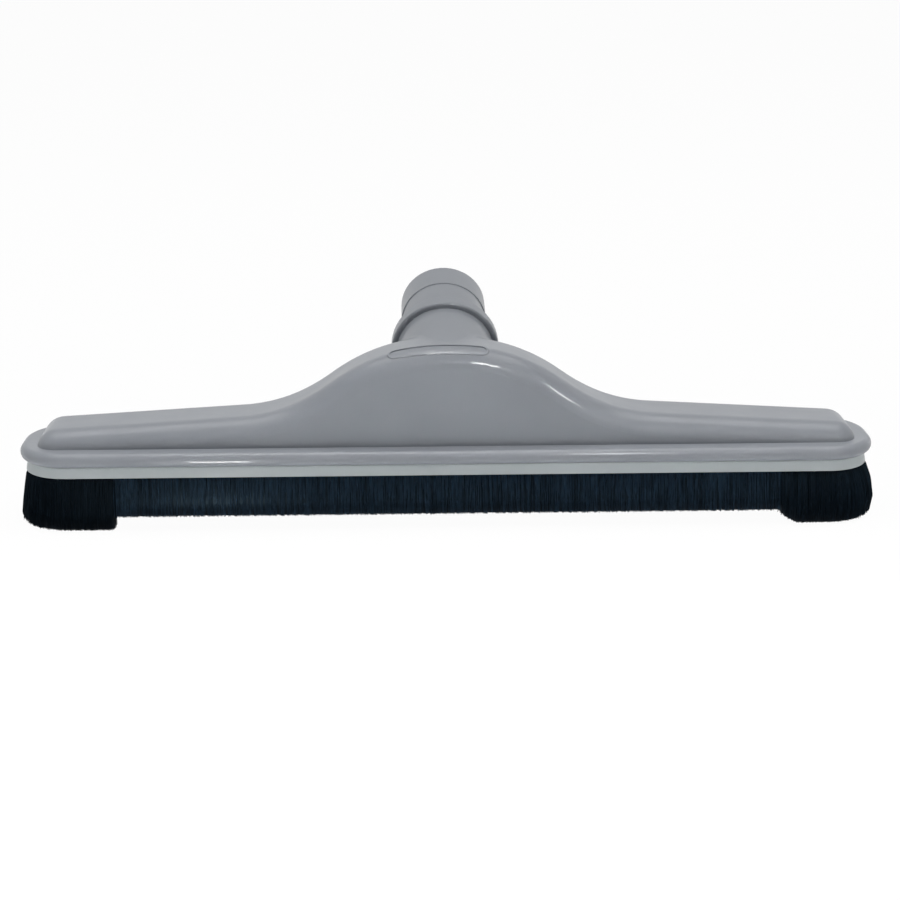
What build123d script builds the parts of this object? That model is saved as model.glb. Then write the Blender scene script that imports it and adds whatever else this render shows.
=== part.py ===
"""Floor brush head for a vacuum cleaner wand, in millimetres, +Z up.

The head stands on its bristle tips at Z = 0. X runs along the brush, the front faces -Y, and the neck
leaves the back of the housing towards +Y, tilted up. The housing is one moulding: a flange with a
rounded edge, a bell-shaped hollow body and the neck with its wand socket. A brush frame is screwed
under the flange and holds four strip brushes: bristles folded round a core wire in a steel channel.
The head is drawn with Y = 0 at the flange's middle and moved at the end, so that the origin is the
middle of the head's footprint on the floor.
"""

import os
from math import cos, radians, sin, tan

from build123d import *

# Flange: the housing's rounded foot
FLANGE_LENGTH = 356.0
FLANGE_DEPTH = 50.0
FLANGE_CORNER = 21.0
FLANGE_THICK = 6.0
FLANGE_EDGE = 2.8

# Bristles, measured from the frame's underside to the tips
LONG_BRISTLE = 22.3
SHORT_BRISTLE = 16.8
SHORT_SPAN = 275.0

# Body: seen from the front, two low arms that sweep up to a crown
BODY_INSET = 7.5
BODY_CORNER = 9.2
BODY_DRAFT = 3.0
WALL = 2.4
ARM_END_RISE = 6.4
ARM_RISE = 11.3
ARM_X = 86.0
RAMP_X = 48.0
RAMP_RISE = 25.5
RAMP_ANGLE = 36.0
CROWN_RISE = 40.6
SHOULDER_RADIUS = 8.5

# Neck: lengths along its axis from the stop ring's near face, radii outside
NECK_TILT = 13.0
RING_BEHIND_BODY = 17.5
RING_RISE = 27.0
BASE_END_INSIDE = 10.6
BASE_RADIUS = 21.1
BASE_FLARE = 1.0
RING_LENGTH = 7.4
RING_RADIUS = 23.4
RING_EDGE = 1.2
TUBE_LENGTH = 22.8
TUBE_RADIUS = 18.5
COLLAR_LENGTH = 16.4
COLLAR_RADIUS = 18.9
COLLAR_EDGE = 0.3
NECK_BLEND = 8.0

# Wand socket and the air duct behind its stop
SOCKET_RADIUS = 16.0
SOCKET_LENGTH = 38.0
STOP_RADIUS = 14.8
STOP_LENGTH = 3.0

# Raised rim round the bare place for a label on the crown
LABEL_LENGTH = 42.0
LABEL_WIDTH = 6.6
LABEL_RIM = 1.2
LABEL_RISE = 0.5
LABEL_EDGE = 0.2
LABEL_X = -3.9
LABEL_INSIDE = 6.8
LABEL_TILT = 22.0

# Brush frame: lip below the flange, spigot up inside it, grooves for the strips
LIP_HEIGHT = 4.6
LIP_INSET = 2.0
LIP_DRAFT = 10.0
LIP_EDGE = 1.0
SPIGOT_HEIGHT = 2.8
SPIGOT_INSET = 5.5
SPIGOT_CLEARANCE = 0.2
RAIL_INNER_INSET = 10.0
MIDDLE_BRIDGE_X = 62.0
END_BRIDGE_INSET = 28.0
BRIDGE_WIDTH = 10.0
BRIDGE_THICK = 3.0

# Strip brushes: their centre line runs this far inside the flange's edge
STRIP_INSET = 5.0
STRIP_GAP = 0.3
CHANNEL_HALF = 1.8
CHANNEL_WALL = 0.4
CHANNEL_HEIGHT = 2.6
CHANNEL_RECESS = 0.3
GROOVE_CLEARANCE = 0.2
ROOT_CLEARANCE = 0.2
WIRE_RADIUS = 0.5
WIRE_CLEARANCE = 0.1
WIRE_SIDES = 6
SPREAD_DROP = 3.0
SPREAD_OUT = 2.7
TIP_OUT = 5.6
TIP_IN = 1.6
TUFT_PITCH = 3.2
TUFT_DEPTH = 0.3

# Frame screws
SCREW_RADIUS = 1.5
SCREW_LENGTH = 8.0
SCREW_HEAD_RADIUS = 3.2
SCREW_HEAD_HEIGHT = 2.0
SCREW_HEAD_EDGE = 0.8
SCREW_CLEARANCE = 0.25
PILOT_CLEARANCE = 0.05
BOSS_RADIUS = 3.4

# How the edges to be rounded are told from the others
ON_SURFACE = 0.02
WELL_CLEAR = 1.0
UPRIGHT_SHARE = 0.8
EDGE_SAMPLES = (0.1, 0.5, 0.9)

# Heights and places that follow from the sizes above
FRAME_Z = LONG_BRISTLE
FLANGE_Z = FRAME_Z + LIP_HEIGHT
BODY_Z = FLANGE_Z + FLANGE_THICK
SPIGOT_Z = FLANGE_Z + SPIGOT_HEIGHT
BRIDGE_Z = SPIGOT_Z - BRIDGE_THICK
CHANNEL_Z = FRAME_Z + CHANNEL_RECESS
BODY_FRONT_Y = BODY_INSET - FLANGE_DEPTH / 2
RING_Y = RING_BEHIND_BODY - BODY_FRONT_Y
NECK_LENGTH = RING_LENGTH + TUBE_LENGTH + COLLAR_LENGTH
BASE_LENGTH = (RING_Y - BODY_FRONT_Y - BASE_END_INSIDE) / cos(radians(NECK_TILT))
ABOVE_ALL = BODY_Z + RING_RISE + NECK_LENGTH + RING_RADIUS
ROOT_HALF = CHANNEL_HALF - CHANNEL_WALL - ROOT_CLEARANCE
WIRE_Z = CHANNEL_Z + CHANNEL_HEIGHT - CHANNEL_WALL - ROOT_HALF
END_BRIDGE_X = FLANGE_LENGTH / 2 - END_BRIDGE_INSET
SCREW_X = (-END_BRIDGE_X, -MIDDLE_BRIDGE_X, MIDDLE_BRIDGE_X, END_BRIDGE_X)
NECK_PLANE = Plane(
    origin=(0, RING_Y, BODY_Z + RING_RISE),
    x_dir=(1, 0, 0),
    z_dir=(0, cos(radians(NECK_TILT)), sin(radians(NECK_TILT))),
)
LABEL_PLANE = Plane(
    origin=(LABEL_X, BODY_FRONT_Y + LABEL_INSIDE, BODY_Z + CROWN_RISE),
    x_dir=(1, 0, 0),
    z_dir=(0, -sin(radians(LABEL_TILT)), cos(radians(LABEL_TILT))),
)
ON_FLOOR = (Align.CENTER, Align.CENTER, Align.MIN)


def slab(inset, corner, height, z, taper=0.0):
    """Slab with the flange's length and depth, drawn in by inset, and rounded corners."""
    outline = RectangleRounded(FLANGE_LENGTH - 2 * inset, FLANGE_DEPTH - 2 * inset, corner)
    return extrude(Pos(0, 0, z) * outline, amount=height, taper=taper)


def plan(inset, height, z, taper=0.0):
    """Slab whose outline is the flange's, drawn in by inset."""
    return slab(inset, FLANGE_CORNER - inset, height, z, taper)


def body_block(skin, height):
    """Drafted block as wide as the body, or as the room inside a wall of thickness skin."""
    return slab(BODY_INSET + skin, BODY_CORNER - skin, height, FLANGE_Z, BODY_DRAFT)


def band(half, height, z):
    """Closed wall of the given half thickness that stands on the strips' centre line."""
    return plan(STRIP_INSET - half, height, z) - plan(STRIP_INSET + half, height, z)


def bell(drop):
    """Solid below the body's top line, lowered by drop and much deeper than the body."""
    end_x = FLANGE_LENGTH / 2
    arm_slope = (ARM_END_RISE - ARM_RISE) / (end_x - BODY_INSET - ARM_X)
    end_rise = ARM_RISE + arm_slope * (end_x - ARM_X)
    level = BODY_Z - drop
    crown = (0, level + CROWN_RISE)
    ramp = (RAMP_X, level + RAMP_RISE)
    arm = (ARM_X, level + ARM_RISE)
    ramp_way = (cos(radians(RAMP_ANGLE)), -sin(radians(RAMP_ANGLE)))
    right = Spline(crown, ramp, arm, tangents=[(1, 0), ramp_way, (1, arm_slope)])
    end = Polyline(arm, (end_x, level + end_rise), (end_x, 0), (0, 0))
    left = mirror(right + end, about=Plane.YZ)
    face = Plane.XZ * make_face([*right.edges(), *end.edges(), *left.edges()])
    return extrude(face, amount=FLANGE_DEPTH, both=True)


def base_radius(along):
    """Outside radius of the neck's base at a distance along the axis."""
    return BASE_RADIUS - along * tan(radians(BASE_FLARE))


def along_neck(profile):
    """Revolves (radius, distance) points about the neck's axis, distance 0 at the ring's near face."""
    face = Plane.XZ * make_face(Polyline(*profile, close=True).edges())
    return NECK_PLANE.location * revolve(face, Axis.Z)


def top_rim(body):
    """Edges where the body's top meets its walls, without the joins between the top's own faces."""
    rim = []
    for edge in body.edges():
        middle = edge.center()
        upright = edge.bounding_box().size.Z > UPRIGHT_SHARE * edge.length
        join = abs(middle.Y) < WELL_CLEAR and abs(middle.X) < ARM_X + WELL_CLEAR
        if middle.Z > BODY_Z + WELL_CLEAR and not upright and not join:
            rim.append(edge)
    return rim


def seam_with_base(joined):
    """Edges where the neck's base runs into the body, found by their distance from the neck's axis."""
    line = NECK_PLANE.z_dir
    seam = []
    for edge in joined.edges():
        spots = [edge.position_at(share) - NECK_PLANE.origin for share in EDGE_SAMPLES]
        along = [spot.dot(line) for spot in spots]
        radii = [(spot - line * way).length for spot, way in zip(spots, along)]
        off = [abs(radius - base_radius(way)) for radius, way in zip(radii, along)]
        ring_edge = max(along) - min(along) < ON_SURFACE
        if max(off) < ON_SURFACE and not ring_edge and edge.geom_type != GeomType.LINE:
            seam.append(edge)
    return seam


def body_outside():
    """Bell-shaped body with a rounded shoulder, and the neck's base blended into its top and back."""
    body = body_block(0, FLANGE_THICK + CROWN_RISE + WALL) & bell(0)
    body = fillet(top_rim(body), SHOULDER_RADIUS)
    far = -BASE_LENGTH
    base = along_neck([(0, far), (base_radius(far), far), (base_radius(0), 0), (0, 0)])
    joined = body + base
    return fillet(seam_with_base(joined), NECK_BLEND)


def neck_outside():
    """Stop ring with rounded edges, tube, and mouth collar with broken edges."""
    collar = RING_LENGTH + TUBE_LENGTH
    points = [
        (0, 0),
        (RING_RADIUS, 0),
        (RING_RADIUS, RING_LENGTH),
        (TUBE_RADIUS, RING_LENGTH),
        (TUBE_RADIUS, collar),
        (COLLAR_RADIUS, collar),
        (COLLAR_RADIUS, NECK_LENGTH),
        (0, NECK_LENGTH),
    ]
    neck = along_neck(points)
    neck = fillet(rims_of_radius(neck, RING_RADIUS), RING_EDGE)
    return chamfer(rims_of_radius(neck, COLLAR_RADIUS), COLLAR_EDGE)


def rims_of_radius(shape, radius):
    """Round edges of the given radius."""
    return [edge for edge in shape.edges().filter_by(GeomType.CIRCLE) if edge.radius == radius]


def neck_inside():
    """Wand socket down to its stop, then the duct that widens into the body."""
    stop = NECK_LENGTH - SOCKET_LENGTH
    past_mouth = NECK_LENGTH + WALL
    far = WALL - BASE_LENGTH
    points = [
        (0, far),
        (base_radius(far) - WALL, far),
        (STOP_RADIUS, stop - STOP_LENGTH),
        (STOP_RADIUS, stop),
        (SOCKET_RADIUS, stop),
        (SOCKET_RADIUS, past_mouth),
        (0, past_mouth),
    ]
    return along_neck(points)


def with_label_rim(outside):
    """Raises a narrow oblong rim on the crown by a lifted copy of its surface, and breaks the rim's edges."""
    inner_length = LABEL_LENGTH - 2 * LABEL_RIM
    inner_width = LABEL_WIDTH - 2 * LABEL_RIM
    oblong = SlotOverall(LABEL_LENGTH, LABEL_WIDTH) - SlotOverall(inner_length, inner_width)
    outline = extrude(LABEL_PLANE * oblong, amount=LABEL_WIDTH, both=True)
    lifted = Pos(0, 0, LABEL_RISE) * outside
    raised = outside + (outline & lifted)
    edges = []
    for edge in raised.edges():
        if on_skin(outline, edge.center()) and on_skin(lifted, edge.center()):
            edges.append(edge)
    return chamfer(edges, LABEL_EDGE)


def on_skin(shape, spot):
    """True where a point lies on a shape's surface."""
    return min(face.distance_to(spot) for face in shape.faces()) < ON_SURFACE


def upright(x, radius, z_low, z_high):
    """Round post or hole on the centre line of the head."""
    return Pos(x, 0, z_low) * Cylinder(radius, z_high - z_low, align=ON_FLOOR)


def housing():
    """Flange, body and neck as one hollow moulding with screw bosses."""
    flange = plan(0, FLANGE_THICK, FLANGE_Z)
    rims = flange.edges().filter_by(Axis.Z, reverse=True)
    flange = fillet(rims, FLANGE_EDGE)
    outside = with_label_rim(body_outside()) + flange + neck_outside()
    room = body_block(WALL, FLANGE_THICK + CROWN_RISE) & bell(WALL)
    room = fillet(top_rim(room), SHOULDER_RADIUS - WALL)
    seat = plan(SPIGOT_INSET - SPIGOT_CLEARANCE, SPIGOT_HEIGHT + SPIGOT_CLEARANCE, FLANGE_Z)
    shell = outside - room - seat - neck_inside()
    for x in SCREW_X:
        shell += upright(x, BOSS_RADIUS, SPIGOT_Z, BODY_Z + CROWN_RISE) & bell(WALL / 2)
    for x in SCREW_X:
        pilot = SCREW_RADIUS + PILOT_CLEARANCE
        shell -= upright(x, pilot, SPIGOT_Z, BRIDGE_Z + SCREW_LENGTH + PILOT_CLEARANCE)
    return shell


def brush_frame():
    """Ring under the flange with grooves for the strips and bridges for the screws."""
    lip = plan(LIP_INSET, LIP_HEIGHT, FRAME_Z, LIP_DRAFT)
    lip = fillet(lip.edges().group_by(Axis.Z)[-1], LIP_EDGE)
    spigot = plan(SPIGOT_INSET, SPIGOT_HEIGHT, FLANGE_Z)
    ring = lip + spigot - plan(RAIL_INNER_INSET, SPIGOT_Z - FRAME_Z, FRAME_Z)
    reach = FLANGE_DEPTH - RAIL_INNER_INSET - SPIGOT_INSET
    for x in SCREW_X:
        ring += Pos(x, 0, BRIDGE_Z) * Box(BRIDGE_WIDTH, reach, BRIDGE_THICK, align=ON_FLOOR)
        ring -= upright(x, SCREW_RADIUS + SCREW_CLEARANCE, BRIDGE_Z, SPIGOT_Z)
    groove_depth = CHANNEL_RECESS + CHANNEL_HEIGHT + GROOVE_CLEARANCE
    return ring - band(CHANNEL_HALF + GROOVE_CLEARANCE, groove_depth, FRAME_Z)


def frame_screws():
    """Pan-head screws, heads up against the bridges from below."""
    screws = []
    for x in SCREW_X:
        head = upright(x, SCREW_HEAD_RADIUS, BRIDGE_Z - SCREW_HEAD_HEIGHT, BRIDGE_Z)
        head = chamfer(head.edges().group_by(Axis.Z)[0], SCREW_HEAD_EDGE)
        screws.append(head + upright(x, SCREW_RADIUS, BRIDGE_Z, BRIDGE_Z + SCREW_LENGTH))
    return Compound(children=screws)


def strip_path(side):
    """Centre line of one strip, running anticlockwise round the head as seen from above."""
    x = FLANGE_LENGTH / 2 - STRIP_INSET
    y = FLANGE_DEPTH / 2 - STRIP_INSET
    long_cut = (SHORT_SPAN - STRIP_GAP) / 2
    end_cut = (SHORT_SPAN + STRIP_GAP) / 2
    corner = FLANGE_CORNER - STRIP_INSET
    if side == "front":
        return Line((-long_cut, -y), (long_cut, -y))
    if side == "rear":
        return Line((long_cut, y), (-long_cut, y))
    if side == "left":
        return FilletPolyline((-end_cut, y), (-x, y), (-x, -y), (-end_cut, -y), radius=corner)
    return FilletPolyline((end_cut, -y), (x, -y), (x, y), (end_cut, y), radius=corner)


def strip_room(side):
    """Tall block round the stretch of the centre line that one strip takes."""
    middle = SHORT_SPAN - STRIP_GAP
    end = FLANGE_LENGTH
    if side in ("front", "rear"):
        way = -1 if side == "front" else 1
        return Pos(0, way * FLANGE_DEPTH / 2, 0) * Box(middle, FLANGE_DEPTH, ABOVE_ALL)
    way = -1 if side == "left" else 1
    start = (SHORT_SPAN + STRIP_GAP) / 2
    return Pos(way * (start + end / 2), 0, 0) * Box(end, FLANGE_DEPTH, ABOVE_ALL)


def strip_channel(side):
    """Steel channel, open downwards."""
    outer = band(CHANNEL_HALF, CHANNEL_HEIGHT, CHANNEL_Z)
    inner = band(CHANNEL_HALF - CHANNEL_WALL, CHANNEL_HEIGHT - CHANNEL_WALL, CHANNEL_Z)
    return (outer - inner) & strip_room(side)


def core_bar(side, radius):
    """Bar with WIRE_SIDES flats along the strip inside its channel, at the core wire's height."""
    path = Pos(0, 0, WIRE_Z) * strip_path(side)
    start = Plane(origin=path @ 0, z_dir=path % 0)
    return sweep(start * RegularPolygon(radius, WIRE_SIDES), path=path)


def skirt(side, tip_z):
    """Bristles below the frame: a wall that spreads towards its tips, with shallow tufts."""
    path = strip_path(side)
    count = round(path.length / TUFT_PITCH)
    levels = (
        (FRAME_Z, ROOT_HALF, ROOT_HALF, 0),
        (FRAME_Z - SPREAD_DROP, SPREAD_OUT, ROOT_HALF, TUFT_DEPTH),
        (tip_z, TIP_OUT, TIP_IN, TUFT_DEPTH),
    )
    faces = []
    for z, out, inside, depth in levels:
        outer_row, inner_row = [], []
        for step in range(count + 1):
            spot = path @ (step / count)
            way = path % (step / count)
            normal = Vector(way.Y, -way.X, 0)
            tuft = depth if step % 2 else 0
            outer_row.append(spot + normal * (out - tuft) + Vector(0, 0, z))
            inner_row.append(spot - normal * (inside - tuft) + Vector(0, 0, z))
        faces.append(make_face(Polyline(*outer_row, *reversed(inner_row), close=True).edges()))
    return loft(faces, ruled=True)


def bristles(side):
    """Bristles of one strip, from the fold round the core wire to the tips."""
    tip_z = LONG_BRISTLE - SHORT_BRISTLE if side == "front" else 0
    top = CHANNEL_Z + CHANNEL_HEIGHT - CHANNEL_WALL - ROOT_CLEARANCE
    root = band(ROOT_HALF, top - FRAME_Z, FRAME_Z) & strip_room(side)
    return root + skirt(side, tip_z) - core_bar(side, WIRE_RADIUS + WIRE_CLEARANCE)


os.makedirs("parts", exist_ok=True)
nodes = {
    "housing": housing(),
    "brush_frame": brush_frame(),
    "frame_screws": frame_screws(),
}
for side in ("front", "rear", "left", "right"):
    nodes[f"{side}_channel"] = strip_channel(side)
    nodes[f"{side}_core_wire"] = core_bar(side, WIRE_RADIUS)
    nodes[f"{side}_bristles"] = bristles(side)
boxes = [shape.bounding_box() for shape in nodes.values()]
middle = (min(box.min.Y for box in boxes) + max(box.max.Y for box in boxes)) / 2
for name, shape in nodes.items():
    export_step(Pos(0, -middle, 0) * shape, f"parts/{name}.step")
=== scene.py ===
"""Looks of the vacuum floor brush head: finishes for the moulded and steel pieces, hair for the strips."""

import bpy
import numpy as np
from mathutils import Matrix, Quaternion, Vector


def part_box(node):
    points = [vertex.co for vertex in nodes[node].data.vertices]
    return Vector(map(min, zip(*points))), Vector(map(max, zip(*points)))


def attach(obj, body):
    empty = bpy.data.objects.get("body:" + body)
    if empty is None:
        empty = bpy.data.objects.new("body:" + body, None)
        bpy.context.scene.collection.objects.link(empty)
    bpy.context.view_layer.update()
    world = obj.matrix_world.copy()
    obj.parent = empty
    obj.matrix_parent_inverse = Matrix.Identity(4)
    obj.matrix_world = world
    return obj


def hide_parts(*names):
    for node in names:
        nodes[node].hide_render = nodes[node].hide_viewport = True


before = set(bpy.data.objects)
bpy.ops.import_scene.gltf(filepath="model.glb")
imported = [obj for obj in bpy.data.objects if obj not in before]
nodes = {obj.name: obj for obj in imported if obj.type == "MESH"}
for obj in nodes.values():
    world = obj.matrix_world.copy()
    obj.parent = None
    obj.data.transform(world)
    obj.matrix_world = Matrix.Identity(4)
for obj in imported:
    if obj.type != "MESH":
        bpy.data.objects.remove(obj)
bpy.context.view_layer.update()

# Sizes in metres, the same as the solids'
FLANGE_HALF_X = 0.178
FLANGE_HALF_Y = 0.025
FLANGE_CORNER = 0.021
STRIP_INSET = 0.005
STRIP_CUT = 0.1375
FRAME_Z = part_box("brush_frame")[0].z
STRIP_MIDDLE_Y = (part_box("brush_frame")[0].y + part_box("brush_frame")[1].y) / 2
SHORT_TIP_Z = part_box("front_bristles")[0].z

# A hair: its radius and its rings, as shares of its drop from root to tip
HAIR_RADIUS = 0.00017
HAIR_RINGS = np.array([0.0, 0.16, 0.42, 0.72, 1.0])
HAIR_SIDES = 3
THICKNESS_RANGE = (0.8, 1.2)
TIP_TAPER = 0.45

# A strip's section, as distances from its centre line and from the frame's underside
ROOT_RISE = 0.0012
ROOT_HALF = 0.0010
SPREAD_OUT = 0.0030
TIP_OUT = 0.0056
TIP_IN = 0.0018
OUTER_TIP_RISE = 0.0008

# Clumps and stray hairs
CLUMP = 0.0027
CLUMP_SHIFT = 0.2
CLUMP_PULL = (0.1, 0.5)
CLUMP_TIP_NOISE = 0.00018
CLUMP_TONE_NOISE = 0.16
LEAN_NOISE = 0.0005
OUT_NOISE = 0.00022
TIP_NOISE = 0.00028
TONE_NOISE = 0.3
STRAY_SHARE = 0.015
STRAY_LEAN = 0.0016
STRAY_OUT = 0.0007

# Where along an end strip wear has shortened the hair, and how far that reaches, as shares of its length
WORN_PLACE = 0.42
WORN_REACH = 0.16

# The dense inside of a strip, which stays a little inside its hair
CORE_STEP = 0.0012
CORE_STEPS_LEAST = 24
CORE_TOP_RISE = 0.001
CORE_SPREAD_DROP = 0.0035
CORE_BELLY_RISE = 0.006
CORE_BELLY_SHARE = 0.6
CORE_ROOT_HALF = 0.0008
CORE_INSET = 0.0007
CORE_BELLY_INSET = 0.0012
CORE_TIP_INSET = 0.0016
CORE_BACK_INSET = 0.0003
CORE_END_GAP = 0.0004
CORE_RIDGE = 0.00025
CORE_TONE = 0.12

# Hair of each strip: count, seed, bulge, trim and tone. The trim is the length and height of the stretch cut
# back at the front end, and the height of the wear. The tone is a painted light level of the same hair: the
# end strips are far darker than the front and rear ones as painted shade, the left end darkest.
STRIPS = {
    "front": (7200, 11, 0.0, (0.002, 0.0, 0.0), 0.73),
    "rear": (7200, 12, 0.0, (0.002, 0.0, 0.0), 0.6),
    "left": (4200, 13, 0.0002, (0.0015, 0.001, 0.004), 0.07),
    "right": (4200, 14, 0.0022, (0.008, 0.0045, 0.001), 0.17),
}

# Surroundings
AIR_STRENGTH = 0.18
FLOOR_HALF = 4.0
FLOOR_TONE = 0.93
FLOOR_ROUGHNESS = 0.9
FLOOR_WHITE_SHARE = 0.965

# Soft lamps: name, place, aim, size, power and angle of spread in degrees
SOFT_LAMPS = (
    ("overhead", (0.0, 0.03, 1.35), (0.0, 0.0, 0.0), (1.5, 0.9), 14.5, 180),
    ("floor_lamp", (0.0, -0.3, 0.9), (0.0, -0.3, 0.0), (1.0, 0.26), 2.3, 25),
)

# Small lamps that show only as glints in the gloss: name, place, aim, size and power
CROWN_AIM = (0.0, 0.0, 0.04)
BEAD_AIM = (-0.1, -0.055, 0.0285)
GLINT_LAMPS = (
    ("bead_lamp", (-0.099, -0.1, 0.005), BEAD_AIM, (0.026, 0.008), 0.045),
    ("right_lamp", (0.17, -0.86, 0.56), CROWN_AIM, (0.1, 0.14), 3.2),
    ("side_lamp", (0.55, -0.68, 0.5), CROWN_AIM, (0.06, 0.1), 1.5),
)

# Where the photograph was taken from
PHOTO_PIXELS = 900
FOCAL_PIXELS = 1900
SENSOR_WIDTH = 36.0
CAMERA_AIM = Vector((0.0, STRIP_MIDDLE_Y, 0.0294))
CAMERA_DISTANCE = 0.801
CAMERA_DOWN = np.radians(16.78)
CAMERA_YAW = np.radians(1.28)
CAMERA_ROLL = np.radians(-0.22)
FRAME_SHIFT_PIXELS = (2.65, -7.65)


def mesh_object(name, points, quads, tris, shade):
    """Object made of whole arrays: points (n, 3), faces with four and with three corners, and a shade value
    for each point."""
    mesh = bpy.data.meshes.new(name)
    corners = np.concatenate([quads.ravel(), tris.ravel()]).astype(np.int32)
    starts = np.concatenate([np.arange(len(quads)) * 4, len(quads) * 4 + np.arange(len(tris)) * 3])
    mesh.vertices.add(len(points))
    mesh.vertices.foreach_set("co", points.astype(np.float32).ravel())
    mesh.loops.add(len(corners))
    mesh.loops.foreach_set("vertex_index", corners)
    mesh.polygons.add(len(starts))
    mesh.polygons.foreach_set("loop_start", starts.astype(np.int32))
    mesh.attributes.new("shade", "FLOAT", "POINT").data.foreach_set("value", shade.astype(np.float32))
    mesh.update(calc_edges=True)
    mesh.validate()
    mesh.shade_smooth()
    made = bpy.data.objects.new(name, mesh)
    bpy.context.scene.collection.objects.link(made)
    return made


def tube_faces(rings, sides):
    """Quads between neighbouring rings of a tube whose points are numbered ring by ring. They face away from
    its axis."""
    ring, side = np.meshgrid(np.arange(rings - 1), np.arange(sides), indexing="ij")
    here, beside = ring * sides + side, ring * sides + (side + 1) % sides
    return np.stack([here, beside, beside + sides, here + sides], axis=-1).reshape(-1, 4)


def straight_line(side):
    """Centre line of the front or rear strip: the point runs along X at a fixed Y, and the outward way is
    the same all along."""
    way = -1.0 if side == "front" else 1.0
    length = 2 * STRIP_CUT

    def at(s):
        x = (s - length / 2) * -way
        y = np.full_like(s, way * (FLANGE_HALF_Y - STRIP_INSET))
        return np.stack([x, y], axis=-1), np.stack([0 * s, 0 * s + way], axis=-1)

    return at, length


def end_line(side):
    """Centre line round one end, from the rear to the front: a corner centre that slides in, across and out,
    plus a corner radius along the outward way, which turns a quarter in each corner."""
    mirror = 1.0 if side == "left" else -1.0
    corner = FLANGE_CORNER - STRIP_INSET
    run = FLANGE_HALF_X - FLANGE_CORNER - STRIP_CUT
    across = 2 * (FLANGE_HALF_Y - FLANGE_CORNER)
    arc = corner * np.pi / 2
    length = 2 * run + 2 * arc + across

    def at(s):
        turned = np.clip((s - run) / arc, 0, 1) + np.clip((s - run - arc - across) / arc, 0, 1)
        angle = np.pi / 2 * (1 + turned)
        out = np.stack([np.cos(angle) * mirror, np.sin(angle)], axis=-1)
        x = -STRIP_CUT - np.clip(s, 0, run) + np.clip(s - run - 2 * arc - across, 0, run)
        y = FLANGE_HALF_Y - FLANGE_CORNER - np.clip(s - run - arc, 0, across)
        return np.stack([x * mirror, y], axis=-1) + corner * out, out

    return at, length


def place(at, s, out, z):
    """Points in the model's frame from distance along a strip, distance outwards from its centre line and
    height."""
    spot, way = at(s)
    flat = spot + way * out[..., None]
    return np.stack([flat[..., 0], flat[..., 1] + STRIP_MIDDLE_Y, z], axis=-1)


def tip_rise(s, length, trim):
    """Rise of the tips along a strip: a power curve over the trimmed stretch at its front end, plus a bell
    curve round the place where wear has shortened the hair."""
    trimmed_length, trimmed_height, worn_height = trim
    trimmed = trimmed_height * np.clip(1 - (length - s) / trimmed_length, 0, 1) ** 1.5
    worn = worn_height * np.exp(-((s - WORN_PLACE * length) / (WORN_REACH * length)) ** 2)
    return trimmed + worn


def hair_tubes(centre, way, thick):
    """Closed tubes with three sides, from arrays of centre points (ring, hair, 3), outward ways (ring, hair,
    2) and radii (ring, hair). A corner is the centre plus the radius along the outward way, turned by thirds
    of a circle."""
    rings, count = thick.shape
    level = np.zeros_like(thick)
    outwards = np.stack([way[..., 0], way[..., 1], level], axis=-1)
    sideways = np.stack([-way[..., 1], way[..., 0], level], axis=-1)
    turn = -2 * np.pi * np.arange(HAIR_SIDES) / HAIR_SIDES
    turned = outwards[:, :, None] * np.cos(turn)[:, None] + sideways[:, :, None] * np.sin(turn)[:, None]
    points = centre[:, :, None] + turned * thick[:, :, None, None]
    first = np.arange(count)[:, None, None] * rings * HAIR_SIDES
    last = (rings - 1) * HAIR_SIDES
    caps = np.array([[2, 1, 0], [last, last + 1, last + 2]])
    quads = tube_faces(rings, HAIR_SIDES) + first
    return points.transpose(1, 0, 2, 3).reshape(-1, 3), quads.reshape(-1, 4), (caps + first).reshape(-1, 3)


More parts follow.
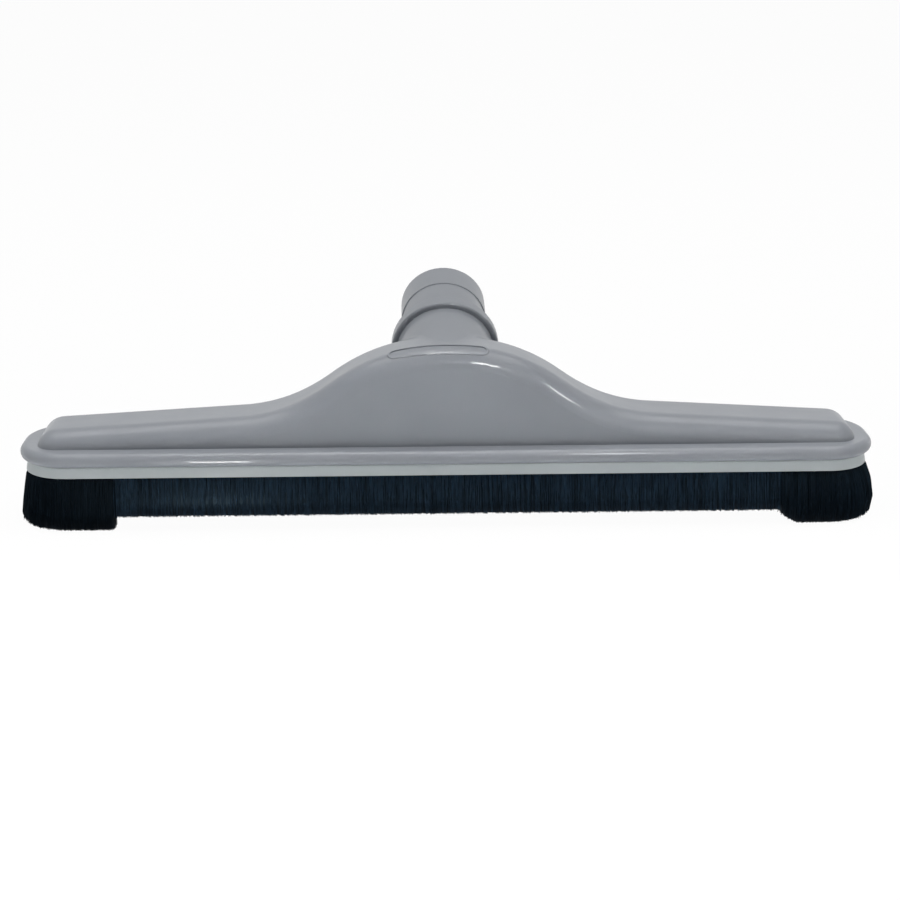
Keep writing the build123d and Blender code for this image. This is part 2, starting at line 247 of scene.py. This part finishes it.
def hair(at, length, tip_z, count, seed, bulge, trim, painted_strip_tone):
    """Hairs of one strip as thin tapered tubes. Each hair leaves the channel, spreads outwards as it drops,
    leans towards its clump's middle, and ends near the tip height plus the strip's rise, a little higher on
    the outside of the strip."""
    rng = np.random.default_rng(seed)
    s = rng.uniform(0, length, count)
    across = np.sin(np.pi / 2 * rng.uniform(0, 1, count)) ** 2
    clump = np.floor(s / CLUMP)
    clump_draw = rng.normal(0, 1, (int(length / CLUMP) + 2, 3))[clump.astype(int)]
    middle = (clump + 0.5 + CLUMP_SHIFT * clump_draw[:, 0]) * CLUMP
    lean = (middle - s) * rng.uniform(*CLUMP_PULL, count) + rng.normal(0, LEAN_NOISE, count)
    stray = rng.uniform(0, 1, count) > 1 - STRAY_SHARE
    lean = np.where(stray, rng.normal(0, STRAY_LEAN, count), lean)
    outer_rise = OUTER_TIP_RISE * np.clip((across - 0.6) / 0.4, 0, 1) ** 2
    uneven = np.abs(CLUMP_TIP_NOISE * clump_draw[:, 1] + rng.normal(0, TIP_NOISE, count))
    tip = tip_z + outer_rise + tip_rise(s, length, trim) + uneven
    drop = HAIR_RINGS[:, None]
    root_z = FRAME_Z + ROOT_RISE
    z = root_z + (tip - root_z) * drop
    leaving = np.clip(drop / HAIR_RINGS[1], 0, 1)
    hanging = np.clip(drop - HAIR_RINGS[1], 0, 1) / (1 - HAIR_RINGS[1])
    inner = -ROOT_HALF + (ROOT_HALF - TIP_IN) * hanging
    outer = ROOT_HALF + (SPREAD_OUT - ROOT_HALF) * leaving + (TIP_OUT - SPREAD_OUT) * hanging
    out = inner + (outer - inner) * across + bulge * across * np.sin(np.pi * drop ** 1.3)
    out = out + rng.normal(0, OUT_NOISE, count) * drop + np.where(stray, STRAY_OUT, 0) * drop * across
    along = np.clip(s + lean * drop ** 1.4, 0, length)
    thick = HAIR_RADIUS * (1 - TIP_TAPER * drop ** 2) * rng.uniform(*THICKNESS_RANGE, count)
    points, quads, tris = hair_tubes(place(at, along, out, z), at(along)[1], thick)
    # The strip's tone level is painted shade, far darker on the end strips; clump and hair vary it at random
    tone = painted_strip_tone * (1 + CLUMP_TONE_NOISE * clump_draw[:, 2] + rng.normal(0, TONE_NOISE, count))
    return points, quads, tris, np.repeat(np.clip(tone, 0, 1), len(HAIR_RINGS) * HAIR_SIDES)


def hair_core(at, length, tip_z, bulge, trim):
    """Dense inside of a strip: a closed section of outwards distance and height, carried along the centre
    line with a wave of one clump's length. Its underside follows the hair's tips."""
    steps = max(CORE_STEPS_LEAST, int(length / CORE_STEP))
    top, spread_z, low = FRAME_Z + CORE_TOP_RISE, FRAME_Z - CORE_SPREAD_DROP, tip_z + CORE_INSET
    belly = CORE_BELLY_SHARE * bulge
    section_out = np.array([
        CORE_ROOT_HALF,
        SPREAD_OUT - CORE_INSET,
        TIP_OUT - CORE_BELLY_INSET + belly,
        TIP_OUT - CORE_TIP_INSET + belly / 2,
        -TIP_IN + CORE_INSET,
        -ROOT_HALF + CORE_BACK_INSET,
        -CORE_ROOT_HALF,
    ])
    section_z = np.array([top, spread_z, low + CORE_BELLY_RISE, low, low, spread_z, top])
    follows_tips = np.array([0, 0, 0.5, 1, 1, 0, 0])
    s = np.linspace(CORE_END_GAP, length - CORE_END_GAP, steps)[:, None]
    section_z = section_z + tip_rise(s, length, trim) * follows_tips
    ridges = CORE_RIDGE * np.sin(2 * np.pi * s / CLUMP) * (section_z < top)
    out = section_out + ridges * np.sign(section_out)
    points = place(at, np.broadcast_to(s, out.shape), out, section_z)
    corners = len(section_out)
    quads = tube_faces(steps, corners)[:, ::-1]
    fan = np.stack([np.zeros(corners - 2, int), np.arange(1, corners - 1), np.arange(2, corners)], axis=-1)
    tris = np.concatenate([fan, fan[:, ::-1] + (steps - 1) * corners])
    return points.reshape(-1, 3), quads, tris, np.full(steps * corners, CORE_TONE)


def strip_of_hair(side, finish, count, seed, bulge, trim, painted_strip_tone):
    """One strip's hair and its dense core in a single object, which stands for the strip's solid."""
    at, length = straight_line(side) if side in ("front", "rear") else end_line(side)
    tip_z = SHORT_TIP_Z if side == "front" else 0.0
    points, quads, tris, shade = hair(at, length, tip_z, count, seed, bulge, trim, painted_strip_tone)
    core_points, core_quads, core_tris, core_shade = hair_core(at, length, tip_z, bulge, trim)
    if side == "right":
        core_quads, core_tris = core_quads[:, ::-1], core_tris[:, ::-1]
    shift = len(points)
    made = mesh_object(
        f"{side}_hair",
        np.concatenate([points, core_points]),
        np.concatenate([quads, core_quads + shift]),
        np.concatenate([tris, core_tris + shift]),
        np.concatenate([shade, core_shade]),
    )
    made.data.materials.append(finish)
    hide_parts(f"{side}_bristles")
    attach(made, "root")


def new_finish(name):
    """Material with a plain surface shader, and a helper that adds nodes to it."""
    made = bpy.data.materials.new(name)
    made.use_nodes = True
    tree = made.node_tree

    def add(kind, inputs=(), **settings):
        node = tree.nodes.new(kind)
        for key, value in settings.items():
            setattr(node, key, value)
        for socket, value in dict(inputs).items():
            if isinstance(value, bpy.types.NodeSocket):
                tree.links.new(value, node.inputs[socket])
            else:
                node.inputs[socket].default_value = value
        return node

    return made, tree, add, tree.nodes["Principled BSDF"]


def two_tones(add, factor, dark, light, low=0.3, high=0.7):
    """Colour ramp from dark to light over a stretch of a factor."""
    ramp = add("ShaderNodeValToRGB", {"Fac": factor})
    ramp.color_ramp.elements[0].position = low
    ramp.color_ramp.elements[0].color = (*dark, 1)
    ramp.color_ramp.elements[1].position = high
    ramp.color_ramp.elements[1].color = (*light, 1)
    return ramp.outputs["Color"]


def uneven_gloss(add, factor, rough_low, rough_high):
    """Roughness from low to high over the middle stretch of a factor."""
    gloss = add("ShaderNodeMapRange", {"Value": factor, "From Min": 0.3, "From Max": 0.7,
                                       "To Min": rough_low, "To Max": rough_high})
    return gloss.outputs["Result"]


def moulded_plastic(name, dark, light, rough_low, rough_high, grain, polish):
    """Moulded plastic: slow cloudy tone, uneven gloss, a fine grain in the bump and a polished skin."""
    made, tree, add, shader = new_finish(name)
    where = add("ShaderNodeTexCoord").outputs["Object"]
    cloud = add("ShaderNodeTexNoise", {"Vector": where, "Scale": 26.0, "Detail": 4.0, "Roughness": 0.55})
    tree.links.new(two_tones(add, cloud.outputs["Fac"], dark, light), shader.inputs["Base Color"])
    smear = add("ShaderNodeTexNoise", {"Vector": where, "Scale": 70.0, "Detail": 5.0, "Roughness": 0.6})
    gloss = uneven_gloss(add, smear.outputs["Fac"], rough_low, rough_high)
    tree.links.new(gloss, shader.inputs["Roughness"])
    skin = add("ShaderNodeTexNoise", {"Vector": where, "Scale": 1400.0, "Detail": 2.0})
    bump = add("ShaderNodeBump", {"Height": skin.outputs["Fac"], "Strength": grain, "Distance": 0.0002})
    tree.links.new(bump.outputs["Normal"], shader.inputs["Normal"])
    shader.inputs["IOR"].default_value = 1.5
    shader.inputs["Specular IOR Level"].default_value = 0.2
    shader.inputs["Coat Weight"].default_value = polish
    shader.inputs["Coat Roughness"].default_value = 0.09
    return made


def plated_steel(name, dark, light, rough_low, rough_high):
    """Plated steel: patchy tone and gloss with short drawn scratches along X."""
    made, tree, add, shader = new_finish(name)
    where = add("ShaderNodeTexCoord").outputs["Object"]
    stretch = add("ShaderNodeMapping", {"Vector": where, "Scale": (60.0, 900.0, 900.0)})
    drawn = add("ShaderNodeTexNoise", {"Vector": stretch.outputs["Vector"], "Scale": 1.0, "Detail": 4.0})
    tree.links.new(two_tones(add, drawn.outputs["Fac"], dark, light), shader.inputs["Base Color"])
    gloss = uneven_gloss(add, drawn.outputs["Fac"], rough_low, rough_high)
    tree.links.new(gloss, shader.inputs["Roughness"])
    bump = add("ShaderNodeBump", {"Height": drawn.outputs["Fac"], "Strength": 0.1, "Distance": 0.0001})
    tree.links.new(bump.outputs["Normal"], shader.inputs["Normal"])
    shader.inputs["Metallic"].default_value = 1.0
    return made


def black_hair():
    """Black hair: each hair has its own tone from blue-black to slate, a little streaked along its length.
    The tone also carries each strip's painted shade level, far darker on the end strips.
    """
    made, tree, add, shader = new_finish("black_hair")
    tone = add("ShaderNodeAttribute", attribute_name="shade")
    where = add("ShaderNodeTexCoord").outputs["Object"]
    stretch = add("ShaderNodeMapping", {"Vector": where, "Scale": (900.0, 900.0, 60.0)})
    streak = add("ShaderNodeTexNoise", {"Vector": stretch.outputs["Vector"], "Scale": 1.0, "Detail": 2.0})
    both = add("ShaderNodeMath", {0: tone.outputs["Fac"], 1: streak.outputs["Fac"]}, operation="MULTIPLY")
    blue_black, slate = (0.0012, 0.0023, 0.0042), (0.0215, 0.043, 0.071)
    colour = two_tones(add, both.outputs["Value"], blue_black, slate, 0.02, 0.5)
    tree.links.new(colour, shader.inputs["Base Color"])
    shader.inputs["Roughness"].default_value = 0.55
    shader.inputs["Specular IOR Level"].default_value = 0.1
    shader.inputs["Specular Tint"].default_value = (0.5, 0.78, 1.0, 1)
    return made


def dress_solids():
    """Gives each rigid node its finish. The nodes of the bristles are replaced by hair and need none."""
    finishes = {
        "housing": moulded_plastic(
            "blue_grey_plastic", (0.247, 0.263, 0.29), (0.267, 0.284, 0.311), 0.4, 0.5, 0.05, 0.3),
        "brush_frame": moulded_plastic(
            "light_grey_plastic", (0.495, 0.54, 0.55), (0.535, 0.58, 0.59), 0.42, 0.52, 0.1, 0.3),
        "frame_screws": plated_steel("zinc_screw", (0.5, 0.5, 0.5), (0.66, 0.66, 0.65), 0.24, 0.4),
    }
    strip_steel = plated_steel("galvanised_strip", (0.42, 0.42, 0.43), (0.58, 0.58, 0.59), 0.32, 0.48)
    for name, node in nodes.items():
        if not name.endswith("_bristles"):
            node.data.materials.clear()
            node.data.materials.append(finishes.get(name, strip_steel))


def white_to_the_eye(tree, shader_socket, out_socket, share):
    """Shows white to camera, glossy and transmission rays by a given share, and the lit shader to others."""

    def combine(operation, first, second):
        node = tree.nodes.new("ShaderNodeMath")
        node.operation = operation
        tree.links.new(first, node.inputs[0])
        if isinstance(second, bpy.types.NodeSocket):
            tree.links.new(second, node.inputs[1])
        else:
            node.inputs[1].default_value = second
        return node.outputs[0]

    path = tree.nodes.new("ShaderNodeLightPath").outputs
    seen = combine("MAXIMUM", path["Is Camera Ray"], path["Is Glossy Ray"])
    seen = combine("MAXIMUM", seen, path["Is Transmission Ray"])
    in_world = out_socket.node.type == "OUTPUT_WORLD"
    white = tree.nodes.new("ShaderNodeBackground" if in_world else "ShaderNodeEmission")
    white.inputs["Color"].default_value = (1, 1, 1, 1)
    white.inputs["Strength"].default_value = 1.0
    mix = tree.nodes.new("ShaderNodeMixShader")
    tree.links.new(combine("MULTIPLY", seen, share), mix.inputs[0])
    tree.links.new(shader_socket, mix.inputs[1])
    tree.links.new(white.outputs[0], mix.inputs[2])
    tree.links.new(mix.outputs[0], out_socket)


def surroundings():
    """White air all round, which lights the object only a little."""
    world = bpy.data.worlds.new("surroundings")
    bpy.context.scene.world = world
    world.use_nodes = True
    air = world.node_tree.nodes["Background"]
    air.inputs["Color"].default_value = (1, 1, 1, 1)
    air.inputs["Strength"].default_value = AIR_STRENGTH
    out = world.node_tree.nodes["World Output"].inputs["Surface"]
    white_to_the_eye(world.node_tree, air.outputs[0], out, 1.0)


def pale_floor():
    """Pale floor under the tips, almost white to the eye, which keeps a faint shadow."""
    mesh = bpy.data.meshes.new("floor")
    corners = [(x * FLOOR_HALF, y * FLOOR_HALF, 0) for x, y in ((-1, -1), (1, -1), (1, 1), (-1, 1))]
    mesh.from_pydata(corners, [], [(0, 1, 2, 3)])
    floor = bpy.data.objects.new("floor", mesh)
    bpy.context.scene.collection.objects.link(floor)
    paint, tree, _, shader = new_finish("floor_paint")
    shader.inputs["Base Color"].default_value = (FLOOR_TONE, FLOOR_TONE, FLOOR_TONE, 1)
    shader.inputs["Roughness"].default_value = FLOOR_ROUGHNESS
    out = tree.nodes["Material Output"].inputs["Surface"]
    white_to_the_eye(tree, shader.outputs[0], out, FLOOR_WHITE_SHARE)
    mesh.materials.append(paint)


def lamp(name, spot, aim, size, watts, spread=180):
    """Rectangular light at a spot, turned towards an aim, which shines over an angle of spread degrees."""
    light = bpy.data.lights.new(name, "AREA")
    light.shape = "RECTANGLE"
    light.size, light.size_y = size
    light.energy = watts
    light.spread = np.radians(spread)
    made = bpy.data.objects.new(name, light)
    made.location = spot
    made.rotation_euler = (Vector(aim) - Vector(spot)).to_track_quat("-Z", "Y").to_euler()
    bpy.context.scene.collection.objects.link(made)
    return made


def lamps():
    """A wide soft light overhead, a narrow one on the floor in front, and small lamps for the glints."""
    for settings in SOFT_LAMPS:
        lamp(*settings)
    for settings in GLINT_LAMPS:
        glint = lamp(*settings)
        glint.visible_diffuse = False
        glint.visible_camera = False


def photo_camera():
    """Camera at the photograph's place: its distance back from the aim, turned by the yaw and raised by the
    angle down."""
    data = bpy.data.cameras.new("photo_camera")
    data.sensor_width = SENSOR_WIDTH
    data.lens = SENSOR_WIDTH * FOCAL_PIXELS / PHOTO_PIXELS
    data.shift_x = FRAME_SHIFT_PIXELS[0] / PHOTO_PIXELS
    data.shift_y = FRAME_SHIFT_PIXELS[1] / PHOTO_PIXELS
    data.clip_start, data.clip_end = 0.01, 50.0
    camera = bpy.data.objects.new("photo_camera", data)
    level = np.cos(CAMERA_DOWN)
    back = Vector((-np.sin(CAMERA_YAW) * level, -np.cos(CAMERA_YAW) * level, np.sin(CAMERA_DOWN)))
    camera.location = CAMERA_AIM + back * CAMERA_DISTANCE
    rolled = (-back).to_track_quat("-Z", "Y") @ Quaternion((0, 0, 1), CAMERA_ROLL)
    camera.rotation_euler = rolled.to_euler()
    bpy.context.scene.collection.objects.link(camera)
    bpy.context.scene.camera = camera


dress_solids()
hair_finish = black_hair()
for side, settings in STRIPS.items():
    strip_of_hair(side, hair_finish, *settings)
surroundings()
pale_floor()
lamps()
photo_camera()
bpy.context.scene.view_settings.view_transform = "Standard"
